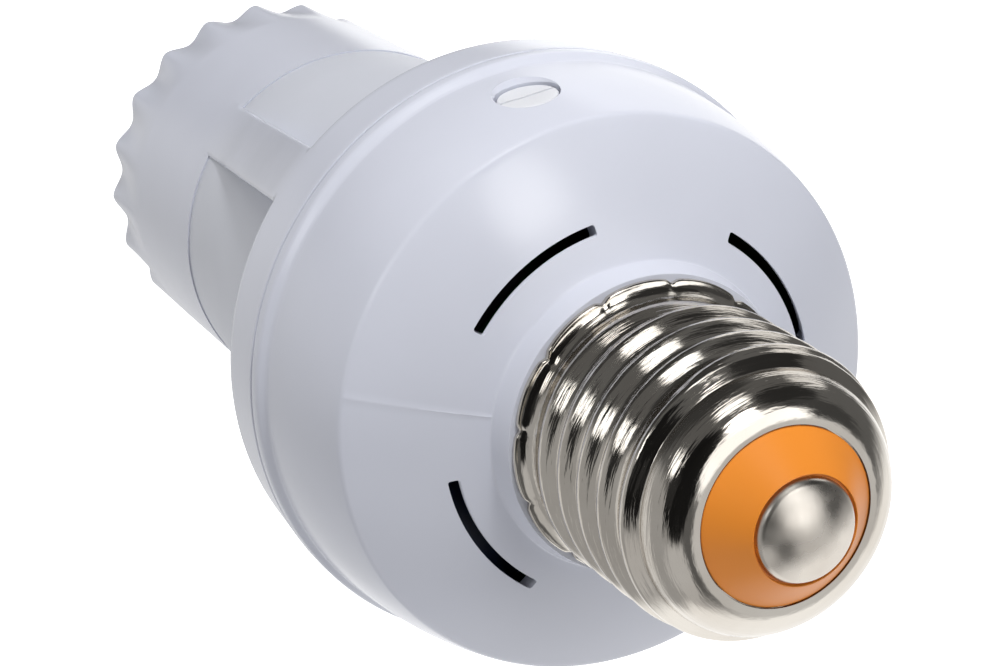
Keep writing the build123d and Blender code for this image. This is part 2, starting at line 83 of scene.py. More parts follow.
# arc through a middle point to an end point
def arcThrough(bm, last, middle, end, steps):
    a = Vector((last.co.x / mm, last.co.z / mm))
    b, c = Vector(middle), Vector(end)
    ab, ac = b - a, c - a
    cross = 2 * (ab.x * ac.y - ab.y * ac.x)
    centre = a + Vector((ac.y * ab.length_squared - ab.y * ac.length_squared,
                         ab.x * ac.length_squared - ac.x * ab.length_squared)) / cross
    begin = math.atan2(a.x - centre.x, a.y - centre.y)
    stop = math.atan2(c.x - centre.x, c.y - centre.y)
    turn = (stop - begin + math.pi) % (2 * math.pi) - math.pi
    return arcTo(bm, last, centre.x, centre.y, math.degrees(turn), steps)


# cutting renews every vertex, so later steps find a corner by its place
def placesOf(*corners):
    return [v.co.copy() for v in corners]


def cornerAt(bm, place):
    return min(bm.verts, key=lambda v: (v.co - place).length_squared)


def cutSpan(bm, a, b, cuts):
    span = bm.edges.get((cornerAt(bm, a), cornerAt(bm, b)))
    made = bmesh.ops.subdivide_edges(bm, edges=[span], cuts=cuts)
    return [v for v in made["geom_inner"] if isinstance(v, bmesh.types.BMVert)]


def roundCorner(bm, place, size, segments=5):
    bmesh.ops.bevel(bm, geom=[cornerAt(bm, place)], offset=size * mm, offset_type="OFFSET", segments=segments,
                    profile=0.5, affect="VERTICES", material=-1)


def turnRound(bm, steps):
    bmesh.ops.spin(bm, geom=bm.verts[:] + bm.edges[:], cent=(0, 0, 0), axis=(0, 0, 1),
                   angle=2 * math.pi, steps=steps, use_merge=True)
    bmesh.ops.remove_doubles(bm, verts=bm.verts[:], dist=1e-7)
    bmesh.ops.recalc_face_normals(bm, faces=bm.faces[:])


def ease(t):
    t = min(max(t, 0.0), 1.0)
    return t * t * (3 - 2 * t)


# smooth shading, with edges past an angle left sharp
def shadeOver(mesh, sharpFrom=35):
    mesh.shade_smooth()
    mesh.set_sharp_from_angle(angle=math.radians(sharpFrom))


def setDown(bm, name, finish, sharpFrom=35):
    mesh = bpy.data.meshes.new(name)
    bm.to_mesh(mesh)
    bm.free()
    piece = bpy.data.objects.new(name, mesh)
    bpy.context.scene.collection.objects.link(piece)
    if finish:
        mesh.materials.append(finish)
    shadeOver(mesh, sharpFrom)
    return piece


# takes a cutter out of a piece and keeps only the result
def cutAway(piece, cutter):
    step = piece.modifiers.new("cut", "BOOLEAN")
    step.operation = "DIFFERENCE"
    step.solver = "EXACT"
    step.object = cutter
    bpy.context.view_layer.update()
    cut = bpy.data.meshes.new_from_object(piece.evaluated_get(bpy.context.evaluated_depsgraph_get()))
    piece.modifiers.clear()
    old, piece.data = piece.data, cut
    cut.name = old.name + "Cut"
    bpy.data.meshes.remove(old)
    bpy.data.objects.remove(cutter)
    shadeOver(cut)


def standFor(piece, body, slot, *nodes):
    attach(piece, body)
    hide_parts(*nodes)


# finishes
def newFinish(name):
    finish = bpy.data.materials.new(name)
    finish.use_nodes = True
    tree = finish.node_tree
    return finish, tree.nodes, tree.links, tree.nodes["Principled BSDF"]


def grainOn(nodes, links, scale, detail, stretch=(1, 1, 1)):
    place = nodes.new("ShaderNodeTexCoord")
    size = nodes.new("ShaderNodeMapping")
    size.inputs["Scale"].default_value = stretch
    grain = nodes.new("ShaderNodeTexNoise")
    grain.inputs["Scale"].default_value = scale
    grain.inputs["Detail"].default_value = detail
    links.new(place.outputs["Object"], size.inputs["Vector"])
    links.new(size.outputs["Vector"], grain.inputs["Vector"])
    return grain.outputs["Fac"]


def shadesOf(nodes, links, source, dark, light, low=0.35, high=0.65):
    ramp = nodes.new("ShaderNodeValToRGB")
    ramp.color_ramp.elements[0].position = low
    ramp.color_ramp.elements[0].color = (*dark, 1)
    ramp.color_ramp.elements[1].position = high
    ramp.color_ramp.elements[1].color = (*light, 1)
    links.new(source, ramp.inputs["Fac"])
    return ramp.outputs["Color"]


def spreadOf(nodes, links, source, least, most, low=0.3, high=0.7):
    spread = nodes.new("ShaderNodeMapRange")
    spread.inputs["From Min"].default_value = low
    spread.inputs["From Max"].default_value = high
    spread.inputs["To Min"].default_value = least
    spread.inputs["To Max"].default_value = most
    links.new(source, spread.inputs["Value"])
    return spread.outputs["Result"]


def bumpOf(nodes, links, source, depth):
    bump = nodes.new("ShaderNodeBump")
    bump.inputs["Distance"].default_value = depth * mm
    links.new(source, bump.inputs["Height"])
    return bump.outputs["Normal"]


# moulded plastic: slow drift of shade, slight patchy gloss and a fine moulded texture
moulded = {"driftScale": 55, "patchScale": 240, "textureScale": 2600, "smoother": 0.02, "rougher": 0.03}


def mouldedFinish(name, colour, rough, drift, texture=0.004):
    m = moulded
    finish, nodes, links, shader = newFinish(name)
    slow = grainOn(nodes, links, m["driftScale"], 2)
    dark = [c * (1 - drift) for c in colour]
    light = [min(c * (1 + drift), 1.0) for c in colour]
    links.new(shadesOf(nodes, links, slow, dark, light), shader.inputs["Base Color"])
    patches = grainOn(nodes, links, m["patchScale"], 4)
    gloss = spreadOf(nodes, links, patches, rough - m["smoother"], rough + m["rougher"])
    links.new(gloss, shader.inputs["Roughness"])
    fine = grainOn(nodes, links, m["textureScale"], 2)
    links.new(bumpOf(nodes, links, fine, texture), shader.inputs["Normal"])
    return finish


# plated or drawn metal: grain stretched round the axis, tarnish in slow patches
metal = {"patchScale": 130, "smoother": 0.6, "rougher": 1.5}


def metalFinish(name, colour, tarnish, rough, stretch=(260, 260, 4200), texture=0.05):
    m = metal
    finish, nodes, links, shader = newFinish(name)
    patches = grainOn(nodes, links, m["patchScale"], 4)
    links.new(shadesOf(nodes, links, patches, tarnish, colour), shader.inputs["Base Color"])
    lines = grainOn(nodes, links, 1, 3, stretch)
    gloss = spreadOf(nodes, links, lines, m["smoother"] * rough, m["rougher"] * rough)
    links.new(gloss, shader.inputs["Roughness"])
    links.new(bumpOf(nodes, links, lines, texture), shader.inputs["Normal"])
    shader.inputs["Metallic"].default_value = 1.0
    return finish


housingWhite = mouldedFinish("housingWhite", (0.69, 0.71, 0.80), 0.19, 0.02, 0.002)
knobWhite = mouldedFinish("knobWhite", (0.78, 0.79, 0.83), 0.36, 0.02)
lensMilky = mouldedFinish("lensMilky", (0.69, 0.71, 0.78), 0.42, 0.02)
capNickel = metalFinish("capNickel", (0.71, 0.67, 0.61), (0.63, 0.585, 0.525), 0.09)
contactNickel = metalFinish("contactNickel", (0.72, 0.68, 0.62), (0.60, 0.55, 0.49), 0.27,
                            (300, 300, 300), 0.03)
insulatorOrange = mouldedFinish("insulatorOrange", (0.92, 0.30, 0.035), 0.38, 0.06)
socketBrass = metalFinish("socketBrass", (0.80, 0.60, 0.28), (0.62, 0.44, 0.19), 0.26)
springBronze = metalFinish("springBronze", (0.78, 0.50, 0.25), (0.58, 0.35, 0.16), 0.28, (400, 5000, 400))
screwSteel = metalFinish("screwSteel", (0.62, 0.62, 0.60), (0.46, 0.45, 0.43), 0.3, (900, 900, 900))
sensorCan = metalFinish("sensorCan", (0.66, 0.65, 0.61), (0.52, 0.51, 0.48), 0.25)
socketCore = mouldedFinish("socketCore", (0.055, 0.05, 0.046), 0.5, 0.2, 0.01)
boardGreen = mouldedFinish("boardGreen", (0.02, 0.12, 0.045), 0.35, 0.25)
relayBlue = mouldedFinish("relayBlue", (0.012, 0.03, 0.1), 0.34, 0.1)
filmRed = mouldedFinish("filmRed", (0.36, 0.05, 0.03), 0.32, 0.15)
componentBlack = mouldedFinish("componentBlack", (0.018, 0.018, 0.019), 0.5, 0.2)
sleeveNavy = mouldedFinish("sleeveNavy", (0.015, 0.02, 0.075), 0.3, 0.15)
sensorClay = mouldedFinish("sensorClay", (0.38, 0.17, 0.06), 0.45, 0.15)
trimmerBlue = mouldedFinish("trimmerBlue", (0.03, 0.12, 0.42), 0.36, 0.1)
leadRed = mouldedFinish("leadRed", (0.42, 0.02, 0.015), 0.42, 0.1)
leadBlack = mouldedFinish("leadBlack", (0.016, 0.016, 0.016), 0.42, 0.2)
print("finishes ready")

# rear casing: stepped rim, bowed shoulder, crease, dome, collar and the spigot for the cap
seamRadius, rearLow, spigotTop = reach("rear_housing")
flareRadius, collarTop, crownTop = reach("cap_shell")
rearCasing = {
    "rimHeight": 1.25, "stepHeight": 0.8, "stepDepth": 0.65, "lean": 1.65, "creaseRise": 14.75,
    "bulge": 0.4, "domeRadius": 47.0, "wall": 1.8, "lipPlay": 1.65, "lipRoom": 2.3,
    "collarFoot": 14.3, "collarPlay": 0.12, "collarRun": 0.8, "spigotRadius": 11.6,
    "footRound": 0.2, "collarEdge": 0.08, "rimRound": 0.12, "stepRound": 0.3, "creaseRound": 0.35,
    "columns": 384, "domeSteps": 13, "shoulderCuts": 13,
    "mouldLine": -63, "lineRise": 0.018, "lineWidth": 0.3,  # column, height in mm, half width in degrees
}
vents = {"count": 4, "firstAngle": -15.7, "span": 45.5, "radius": 17.65, "width": 0.95, "lip": 0.08,
         "edge": 0.4, "relief": 0.8, "above": 1.5, "below": 2, "steps": 30, "endSteps": 5, "endRound": 0.25}
dialHole = {"angle": -130.4, "rise": 7.75, "radius": 3.0, "lip": 0.25, "lipFlare": 1.5, "faceRadius": 27.42,
            "depth": 4.0, "columns": 72}


# from the turning axis standing up along Z to pointing out of the shoulder
def onDial(bm, out, rise):
    turn = Matrix.Rotation(math.radians(dialHole["angle"]), 4, "Z") @ Matrix.Rotation(math.pi / 2, 4, "Y")
    place = Matrix.Rotation(math.radians(dialHole["angle"]), 4, "Z") @ Vector((out * mm, 0, rise * mm))
    bmesh.ops.transform(bm, matrix=Matrix.Translation(place) @ turn, verts=bm.verts[:])


# arc vents with a softened upper edge
def cutVents(casing, domeZ):
    s = vents
    domeR = rearCasing["domeRadius"]
    innerR = domeR - rearCasing["wall"]
    middle, span, steps, endSteps = s["radius"], s["span"], s["steps"], s["endSteps"]
    inner, outer = middle - s["width"] / 2, middle + s["width"] / 2
    lip, edge, relief = s["lip"], s["edge"], s["relief"]
    above, below = domeZ(inner, domeR) + s["above"], domeZ(inner, innerR) - s["below"]
    bm = bmesh.new()
    for n in range(s["count"]):
        start = s["firstAngle"] + n * 360 / s["count"] - span / 2
        last = corner = startLine(bm, inner - relief, below)
        line = [last]
        for r, z in ((inner - relief, domeZ(inner - relief, domeR) - edge - relief),
                     (inner, domeZ(inner, domeR) - edge), (inner, domeZ(inner, domeR) - lip),
                     (inner - lip, domeZ(inner, domeR) + lip), (inner - lip, above),
                     (outer + lip, above), (outer + lip, domeZ(outer, domeR) + lip),
                     (outer, domeZ(outer, domeR) - lip), (outer, domeZ(outer, domeR) - edge),
                     (outer + relief, domeZ(outer + relief, domeR) - edge - relief),
                     (outer + relief, below)):
            last = lineTo(bm, last, r, z)
            line.append(last)
        bm.edges.new((last, corner))
        slot = bm.faces.new(line)
        bmesh.ops.rotate(bm, cent=(0, 0, 0), matrix=Matrix.Rotation(math.radians(start), 3, "Z"), verts=line)
        bmesh.ops.spin(bm, geom=[slot, *slot.edges, *line], cent=(0, 0, 0), axis=(0, 0, 1),
                       angle=math.radians(span), steps=steps)
    endTurn = math.degrees(s["endRound"] / middle)
    for v in bm.verts:  # the first and last few steps round the corners of the ends
        angle = math.degrees(math.atan2(v.co.y, v.co.x))
        along = (angle - s["firstAngle"] + span / 2 + 1) % (360 / s["count"]) - 1
        step = round(along / span * steps)
        near = min(step, steps - step)
        quarter = min(near / endSteps, 1) * math.pi / 2
        turned = endTurn * (1 - math.cos(quarter))
        if near > endSteps:
            turned = endTurn + (span / 2 - endTurn) * (near - endSteps) / (steps / 2 - endSteps)
        turned = turned if step == near else span - turned
        narrow = 2 * s["endRound"] / s["width"] * (1 - math.sin(quarter))
        r = ringOf(v.co)[0]
        moveTo(v, middle + (r - middle) * (1 - narrow), math.radians(angle - along + turned))
    bmesh.ops.recalc_face_normals(bm, faces=bm.faces[:])
    cutAway(casing, setDown(bm, "ventCutter", None))


def cutDialHole(casing):
    s = dialHole
    mouth = s["radius"] + s["lipFlare"] * s["lip"]
    bm = bmesh.new()
    last = startLine(bm, 0, -s["depth"])
    for r, z in ((s["radius"], -s["depth"]), (s["radius"], -s["lip"]), (mouth, s["lip"]), (mouth, s["depth"]),
                 (0, s["depth"])):
        last = lineTo(bm, last, r, z)
    turnRound(bm, s["columns"])
    onDial(bm, s["faceRadius"], rearLow + s["rise"])
    cutAway(casing, setDown(bm, "dialCutter", None))


def makeRearCasing():
    s = rearCasing
    shoulder = seamRadius - s["stepDepth"]
    crease = shoulder - s["lean"]
    creaseZ = rearLow + s["creaseRise"]
    domeR = s["domeRadius"]
    centreZ = creaseZ - math.sqrt(domeR ** 2 - crease ** 2)
    collar = s["collarFoot"]
    innerR = domeR - s["wall"]
    spigotBore = s["spigotRadius"] - s["wall"]

    def domeZ(r, radius):
        return centreZ + math.sqrt(radius ** 2 - r ** 2)

    def lie(r, radius):
        return math.degrees(math.asin(r / radius))

    bm = bmesh.new()
    first = startLine(bm, seamRadius - s["lipPlay"], rearLow)
    rim = lineTo(bm, first, seamRadius, rearLow)
    stepTop = lineTo(bm, rim, seamRadius, rearLow + s["rimHeight"])
    stepFoot = lineTo(bm, stepTop, shoulder, rearLow + s["rimHeight"] + s["stepHeight"])
    bend = lineTo(bm, stepFoot, crease, creaseZ)
    domeEnd = collar + s["collarRun"]
    dome = arcTo(bm, bend, 0, centreZ, lie(domeEnd, domeR) - lie(crease, domeR), s["domeSteps"])
    foot = lineTo(bm, dome, collar, domeZ(collar, domeR))
    shelf = lineTo(bm, foot, flareRadius + s["collarPlay"], collarTop)
    spigot = lineTo(bm, shelf, s["spigotRadius"], collarTop)
    spigot = lineTo(bm, spigot, s["spigotRadius"], spigotTop)
    inside = lineTo(bm, spigot, spigotBore, spigotTop)
    inside = lineTo(bm, inside, spigotBore, domeZ(spigotBore, innerR))
    inside = arcTo(bm, inside, 0, centreZ, lie(crease - s["wall"], innerR) - lie(spigotBore, innerR),
                   s["domeSteps"] - 1)
    inside = lineTo(bm, inside, shoulder - s["wall"], rearLow + s["lipRoom"])
    inside = lineTo(bm, inside, seamRadius - s["lipPlay"], rearLow + s["lipRoom"])
    bm.edges.new((inside, first))
    rim, stepTop, stepFoot, bend, foot, shelf = placesOf(rim, stepTop, stepFoot, bend, foot, shelf)
    low, high = stepFoot.z, bend.z
    for v in cutSpan(bm, stepFoot, bend, s["shoulderCuts"]):  # the shoulder bows out a little
        t = (v.co.z - low) / (high - low)
        v.co.x += s["bulge"] * mm * 4 * t * (1 - t)
    for corner, size in ((rim, "rimRound"), (stepTop, "stepRound"), (stepFoot, "stepRound"),
                         (bend, "creaseRound"), (foot, "footRound"), (shelf, "collarEdge")):
        roundCorner(bm, corner, s[size])
    turnRound(bm, s["columns"])
    for v in bm.verts:  # faint mould line down the dome
        r, z = ringOf(v.co)
        column = math.degrees(math.atan2(v.co.y, v.co.x)) * s["columns"] / 360 - s["mouldLine"]
        if abs(column) > 1.5 or z < creaseZ - 0.1 or abs(math.hypot(r, z - centreZ) - domeR) > 0.05:
            continue
        if abs(column) < 0.5:
            v.co *= 1 + s["lineRise"] / domeR
        else:
            turn = math.radians(math.copysign(s["lineWidth"], column) - column * 360 / s["columns"])
            v.co.rotate(Matrix.Rotation(turn, 3, "Z"))
    casing = setDown(bm, "rearCasing", housingWhite)
    cutVents(casing, domeZ)
    cutDialHole(casing)
    standFor(casing, "housing", "housing_white", "rear_housing")


makeRearCasing()
print("rear casing done")

# front casing: fluted mouth, neck, three struts over the lens windows, rim band, socket tube
frontRadius, _, lipTop = reach("front_housing")
frontCasing = {
    "mouthRadius": 18.1, "mouthBore": 15.6, "mouthDepth": 7.0, "mouthEdge": 0.6, "rimRound": 0.45,
    "boreRound": 0.2, "boreTaper": 1.55,
    "neckRadius": 18.5, "neckTop": 24.5, "bandLow": 60.0, "bandRadius": 27.7, "seam": 67.0,
    "lip": (26.6, 25.2), "ledge": 62.0, "lensGap": 0.15, "lensRadius": (18.25, 22.5), "seat": (17.8, 22.5),
    "ledgeFlare": 0.27, "tube": (15.65, 14.05), "floor": (42.0, 44.0), "seamRound": 0.15,
    "struts": 3, "strutAngle": -90, "footStart": 20.5, "footLength": 10.0, "footSink": 0.05, "bandBlend": 0.4,
    "strutSides": (0, 0.8, 1.5, 2.1, 2.6, 2.79, 2.92, 2.98, 3.0), "windowColumns": 54, "edgeRound": 0.4,
    "edgeShare": 0.6, "skinPlay": 0.05, "bandPlay": 0.1, "seamKeep": 1,
    "flutes": 20, "flutePhase": 16.6, "fluteDepth": 1.15, "fluteLength": 8.5, "fluteFade": 1.25,
    "fluteShape": 0.85, "levels": (0.9, 12, 19.5), "gatherFrom": 14,
    "bandSteps": (0.03, 0.1, 0.22, 0.42), "bandLean": 0.1,
    "fluteRows": 22, "neckRows": 4, "footRows": 9, "windowRows": 49, "bandRows": 7,
    "innerSkin": 16.0, "outerSkin": 17.0,  # the lamp tube lies inside one, the outer shell past the other
}


def strutLine(z):
    s = frontCasing
    foot = s["neckRadius"] - s["footSink"]
    slope = (s["bandRadius"] - foot) / (s["bandLow"] - s["footStart"] - s["footLength"] / 2)
    rise = z - s["footStart"]
    if rise < s["footLength"]:
        strut = foot + slope * max(rise, 0) ** 2 / (2 * s["footLength"])
    else:
        strut = foot + slope * (rise - s["footLength"] / 2)
    band = s["bandRadius"] + (frontRadius - s["bandRadius"]) * (z - s["bandLow"]) / (s["seam"] - s["bandLow"])
    soft = max(s["bandBlend"] - abs(strut - band), 0) / s["bandBlend"]
    return min(strut, band) - soft * soft * s["bandBlend"] / 4


def makeFrontCasing():
    s = frontCasing
    neckTop, bandLow = s["neckTop"], s["bandLow"]
    lensLow, lensHigh = (r + s["lensGap"] for r in s["lensRadius"])
    sides = s["strutSides"]
    strutColumns = len(sides) - 1
    halfSector = strutColumns + s["windowColumns"]
    columns = 2 * s["struts"] * halfSector

    def neck(z):
        return s["mouthRadius"] + (s["neckRadius"] - s["mouthRadius"]) * z / neckTop

    bm = bmesh.new()
    first = startLine(bm, s["mouthBore"] + s["mouthEdge"], 0)
    rim = lineTo(bm, first, s["mouthRadius"], 0)
    lowZ, fluteZ, footZ = s["levels"]
    low = lineTo(bm, rim, neck(lowZ), lowZ)
    fluteEnd = lineTo(bm, low, neck(fluteZ), fluteZ)
    footEnd = lineTo(bm, fluteEnd, neck(footZ), footZ)
    shelf = lineTo(bm, footEnd, s["neckRadius"], neckTop)
    band = line = lineTo(bm, shelf, s["bandRadius"], bandLow)
    for rise in s["bandSteps"]:
        line = lineTo(bm, line, s["bandRadius"] + s["bandLean"] * rise, bandLow + rise)
    bandFace = line
    seam = lineTo(bm, bandFace, frontRadius, s["seam"])
    line = seam
    lipOuter, lipInner = s["lip"]
    for r, z in ((lipOuter, s["seam"]), (lipOuter, lipTop), (lipInner, lipTop), (lipInner, s["ledge"]),
                 (lensHigh + s["ledgeFlare"], s["ledge"]), (lensHigh, bandLow)):
        line = lineTo(bm, line, r, z)
    insideTop = line
    insideLow = line = lineTo(bm, line, lensLow, neckTop)
    seatRadius, seatZ = s["seat"]
    tubeOuter, tubeBore = s["tube"]
    floorLow, floorTop = s["floor"]
    for r, z in ((seatRadius, neckTop), (seatRadius, seatZ), (tubeOuter, seatZ), (tubeOuter, floorTop),
                 (0, floorTop), (0, floorLow), (tubeBore, floorLow),
                 (tubeBore, s["mouthDepth"] + s["boreTaper"]), (s["mouthBore"], s["mouthDepth"]),
                 (s["mouthBore"], s["mouthEdge"])):
        line = lineTo(bm, line, r, z)
    bm.edges.new((line, first))
    first, rim, low, fluteEnd, footEnd = placesOf(first, rim, low, fluteEnd, footEnd)
    shelf, band, bandFace, seam = placesOf(shelf, band, bandFace, seam)
    insideTop, insideLow = placesOf(insideTop, insideLow)
    cutSpan(bm, low, fluteEnd, s["fluteRows"])
    cutSpan(bm, fluteEnd, footEnd, s["neckRows"])
    cutSpan(bm, footEnd, shelf, s["footRows"])
    cutSpan(bm, shelf, band, s["windowRows"])
    cutSpan(bm, insideTop, insideLow, s["windowRows"])
    cutSpan(bm, bandFace, seam, s["bandRows"])
    roundCorner(bm, rim, s["rimRound"])
    roundCorner(bm, first, s["boreRound"], 3)
    roundCorner(bm, seam, s["seamRound"])
    turnRound(bm, columns)

    def lensLine(z):
        return lensLow + (lensHigh - lensLow) * (z - neckTop) / (bandLow - neckTop)

    sector = 360 / s["struts"]

    def fromMiddle(co):  # turn from the middle of the nearest strut
        angle = math.degrees(math.atan2(co.y, co.x))
        return (angle - s["strutAngle"] + sector / 2) % sector - sector / 2

    # columns are gathered so that each strut keeps its width all the way up
    for v in bm.verts:
        r, z = ringOf(v.co)
        if r < s["innerSkin"]:
            continue
        angle = math.degrees(math.atan2(v.co.y, v.co.x))
        offset = fromMiddle(v.co)
        column = round(abs(offset) / 360 * columns, 3)
        outside = r > lensLine(z) + s["skinPlay"] or z > bandLow
        onStrut = column <= strutColumns + slack
        if outside and onStrut and s["footStart"] < z < s["seam"] - s["seamKeep"]:
            if z < neckTop - slack:
                r = max(r, strutLine(z))
            elif z < bandLow + slack:
                r = strutLine(z)
            else:
                r = min(r, strutLine(z))
        if onStrut:
            side = sides[round(column)]
            half = math.degrees(math.asin(side / r))
            gathered = half
            if outside and neckTop - slack < z < bandLow + slack:  # rounded long edges
                past = max(side - sides[-1] + s["edgeRound"], 0)
                drop = s["edgeRound"] - math.sqrt(s["edgeRound"] ** 2 - past ** 2)
                r -= min(drop, s["edgeShare"] * (r - lensLine(z)))
        else:
            half = math.degrees(math.asin(sides[-1] / r))
            gathered = half + (column - strutColumns) / s["windowColumns"] * (sector / 2 - half)
            onBand = r > s["bandRadius"] - s["bandPlay"]
            if onBand and bandLow - slack < z < bandLow + s["edgeRound"]:  # rounded band edge
                past = bandLow + s["edgeRound"] - z
                r -= s["edgeRound"] - math.sqrt(max(s["edgeRound"] ** 2 - past ** 2, 0))
        share = ease((z - s["gatherFrom"]) / (neckTop - s["gatherFrom"]))
        gathered = math.copysign(gathered * share + abs(offset) * (1 - share), offset)
        angle += gathered - offset
        if r > s["outerSkin"] and z < s["fluteLength"]:
            lobe = 0.5 + 0.5 * math.cos(math.radians((angle - s["flutePhase"]) * s["flutes"]))
            r -= s["fluteDepth"] * lobe ** s["fluteShape"] * (1 - z / s["fluteLength"]) ** s["fluteFade"]
        moveTo(v, r, math.radians(angle))

    # open the windows on both skins and join the skins
    def fromStrut(co):
        return abs(ringOf(co)[0] * math.sin(math.radians(fromMiddle(co))))

    panes = []
    for f in bm.faces:
        co = f.calc_center_median()
        r, z = ringOf(co)
        if neckTop + slack < z < bandLow - slack and r > s["outerSkin"] and fromStrut(co) > sides[-1]:
            panes.append(f)
    bmesh.ops.delete(bm, geom=panes, context="FACES")
    edges = [e for e in bm.edges if e.is_boundary]
    for n in range(s["struts"]):
        middle = math.radians(s["strutAngle"] + sector * (n + 0.5))
        mine = []
        for e in edges:
            co = (e.verts[0].co + e.verts[1].co) / 2
            if math.cos(math.atan2(co.y, co.x) - middle) > math.cos(math.radians(sector / 2)):
                mine.append(e)
        bmesh.ops.bridge_loops(bm, edges=mine)
    bmesh.ops.recalc_face_normals(bm, faces=bm.faces[:])
    casing = setDown(bm, "frontCasing", housingWhite, 40)
    standFor(casing, "housing", "housing_white", "front_housing")


makeFrontCasing()
print("front casing done")

# sensor lens: milky cone with a seating flange
lensFlange, lensFoot, lensTop = reach("sensor_lens")
lensCone = {"foot": 17.65, "low": 18.36, "high": 22.74, "stepZ": 24.55, "ledge": 62.0, "wall": 1.0,
            "round": 0.04, "columns": 240, "rows": 30}


def makeLens():
    s = lensCone
    bm = bmesh.new()
    first = startLine(bm, s["foot"] - s["wall"], lensFoot)
    line = lineTo(bm, first, s["foot"], lensFoot)
    line = lineTo(bm, line, s["foot"], s["stepZ"])
    low = lineTo(bm, line, s["low"], s["stepZ"])
    high = lineTo(bm, low, s["high"], s["ledge"])
    line = high
    for r, z in ((lensFlange, s["ledge"]), (lensFlange, lensTop), (s["high"] - s["wall"], lensTop),
                 (s["low"] - s["wall"], s["stepZ"] + s["wall"]), (s["foot"] - s["wall"], s["stepZ"])):
        line = lineTo(bm, line, r, z)
    bm.edges.new((line, first))
    low, high = placesOf(low, high)
    cutSpan(bm, low, high, s["rows"])
    roundCorner(bm, low, s["round"], 3)
    turnRound(bm, s["columns"])
    lens = setDown(bm, "sensorLens", lensMilky)
    standFor(lens, "housing", "lens_milky", "sensor_lens")


makeLens()
print("lens done")

# screw cap: flared rim with crimps, rounded right-hand thread, smooth crown
capShell = {
    "bore": 11.7, "root": 12.15, "crest": 13.1, "flareEdge": 0.6, "plainEnd": 3.4,
    "pitch": 3.629, "crestLevel": 95.15, "threadLow": 93.3, "threadHigh": 109.2, "fade": 0.3,
    "ringLow": 107.3, "ring": (12.75, 108.9), "ringRound": 0.6, "ringTurn": -50,
    "crease": (11.6, 110.1), "creaseRound": 0.1, "crownMiddle": (10.75, 112.6),
    "lip": 8.0, "lipDrop": 0.6, "lipWall": 0.6, "neckDepth": 4.0,
    "innerTop": 106.8, "skinPlay": 0.2,
    "rows": 132, "columns": 288, "flareSteps": 9, "ringSteps": 6, "crownSteps": 24,
    "flareInset": 0.15, "rimRound": 0.2, "edgeRound": 0.16, "scallop": 0.2,
    "crimps": 12, "crimpPhase": 2.4, "crimpDepth": 0.3, "crimpWidth": 1.7, "crimpHeight": 2.0,
}


def makeCapShell():
    s = capShell
    bm = bmesh.new()
    first = startLine(bm, s["bore"], collarTop)
    flare = flareRadius - s["flareInset"]
    rim = lineTo(bm, first, flare, collarTop)
    edge = lineTo(bm, rim, flare, collarTop + s["flareEdge"])
    curve = flare - s["root"]
    line = arcTo(bm, edge, flare, collarTop + s["flareEdge"] + curve, 90, s["flareSteps"])
    plain = lineTo(bm, line, s["root"], collarTop + s["plainEnd"])
    ring = lineTo(bm, plain, *s["ring"])
    line = arcTo(bm, ring, s["ring"][0] - s["ringRound"], s["ring"][1], s["ringTurn"], s["ringSteps"])
    crease = lineTo(bm, line, *s["crease"])
    line = arcThrough(bm, crease, s["crownMiddle"], (s["lip"], crownTop), s["crownSteps"])
    inner = s["lip"] - s["lipWall"]
    for r, z in ((s["lip"], crownTop - s["lipDrop"]), (inner, crownTop - s["lipDrop"]),
                 (inner, crownTop - s["neckDepth"]), (s["bore"], s["innerTop"])):
        line = lineTo(bm, line, r, z)
    bm.edges.new((line, first))
    plain, ring, crease, rim, edge = placesOf(plain, ring, crease, rim, edge)
    cutSpan(bm, plain, ring, s["rows"])
    roundCorner(bm, crease, s["creaseRound"], 3)
    roundCorner(bm, rim, s["rimRound"], 4)
    roundCorner(bm, edge, s["edgeRound"], 4)
    turnRound(bm, s["columns"])
    pitch, depth = s["pitch"], s["crest"] - s["root"]
    ringR, ringZ = s["ring"]
    for v in bm.verts:
        r, z = ringOf(v.co)
        if r < s["bore"] + s["skinPlay"]:
            continue
        angle = math.atan2(v.co.y, v.co.x)
        if collarTop + s["plainEnd"] - slack < z < ringZ + slack:
            turn = angle / (2 * math.pi)
            along = (z - s["crestLevel"]) / pitch - turn
            ridgeZ = s["crestLevel"] + pitch * (round(along) + turn)
            run = ease((ridgeZ - s["threadLow"]) / (s["fade"] * pitch))
            run *= ease((s["threadHigh"] - ridgeZ) / (s["fade"] * pitch))
            thread = s["root"] + depth * run * (0.5 + 0.5 * math.cos(2 * math.pi * along))
            rise = min(max((z - s["ringLow"]) / (ringZ - s["ringLow"]), 0), 1)
            r = max(thread, s["root"] + (ringR - s["root"]) * (0.5 - 0.5 * math.cos(math.pi * rise)))
        elif z < collarTop + s["crimpHeight"]:
            half = 180 / s["crimps"]
            away = (math.degrees(angle) - s["crimpPhase"] + half) % (360 / s["crimps"]) - half
            pinch = s["crimpDepth"] * math.exp(-(away / s["crimpWidth"]) ** 2)
            pinch += s["scallop"] * (1 - abs(away) * s["crimps"] / 180) ** 2
            r -= pinch * min((r - s["root"]) / (flare - s["root"]), 1)
        moveTo(v, r, angle)
    shell = setDown(bm, "capShell", capNickel, 50)
    standFor(shell, "housing", "cap_nickel", "cap_shell")


makeCapShell()

# orange insulator and domed centre contact at the tip
_, insulatorLow, insulatorTop = reach("cap_insulator")
contactRadius, contactLow, contactTop = reach("cap_contact")
capTip = {"play": 0.12, "step": 0.6, "seatDrop": 0.1, "ringPlay": 0.22, "wellPlay": 0.16, "ringRound": 0.12,
          "stem": 1.6, "stemPlay": 0.1, "sink": 0.4, "side": 0.65, "edgeRound": 0.7,
          "columns": 160, "coneRows": 8, "domeSteps": 9}


